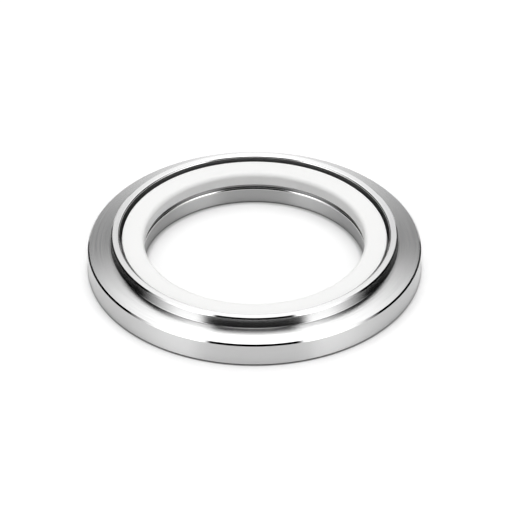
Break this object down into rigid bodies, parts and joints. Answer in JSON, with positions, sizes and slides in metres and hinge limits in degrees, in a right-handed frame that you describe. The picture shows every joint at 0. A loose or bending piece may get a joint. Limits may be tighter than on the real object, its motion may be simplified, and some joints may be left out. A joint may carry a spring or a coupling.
{
  "type": "centering ring",
  "caption": "Turned stainless steel ring with a clamping flange, a raised collar and a white PTFE seal ring recessed in the collar around the through bore.",
  "frame": {"origin": "on the bore axis, in the plane of the body's flat base face", "axes": "+Z along the bore axis, from the base face towards the seal face; the part is turned about Z, so X and Y are any two directions across the flange"},
  "size_m": [0.075, 0.075, 0.009],
  "materials": {
    "turned_stainless_steel": "fine turned, satin faces and polished edges",
    "white_ptfe": "smooth, waxy matt"
  },
  "bodies": {
    "root": {"ring_body": "turned_stainless_steel", "seal_ring": "white_ptfe"}
  },
  "joints": []
}
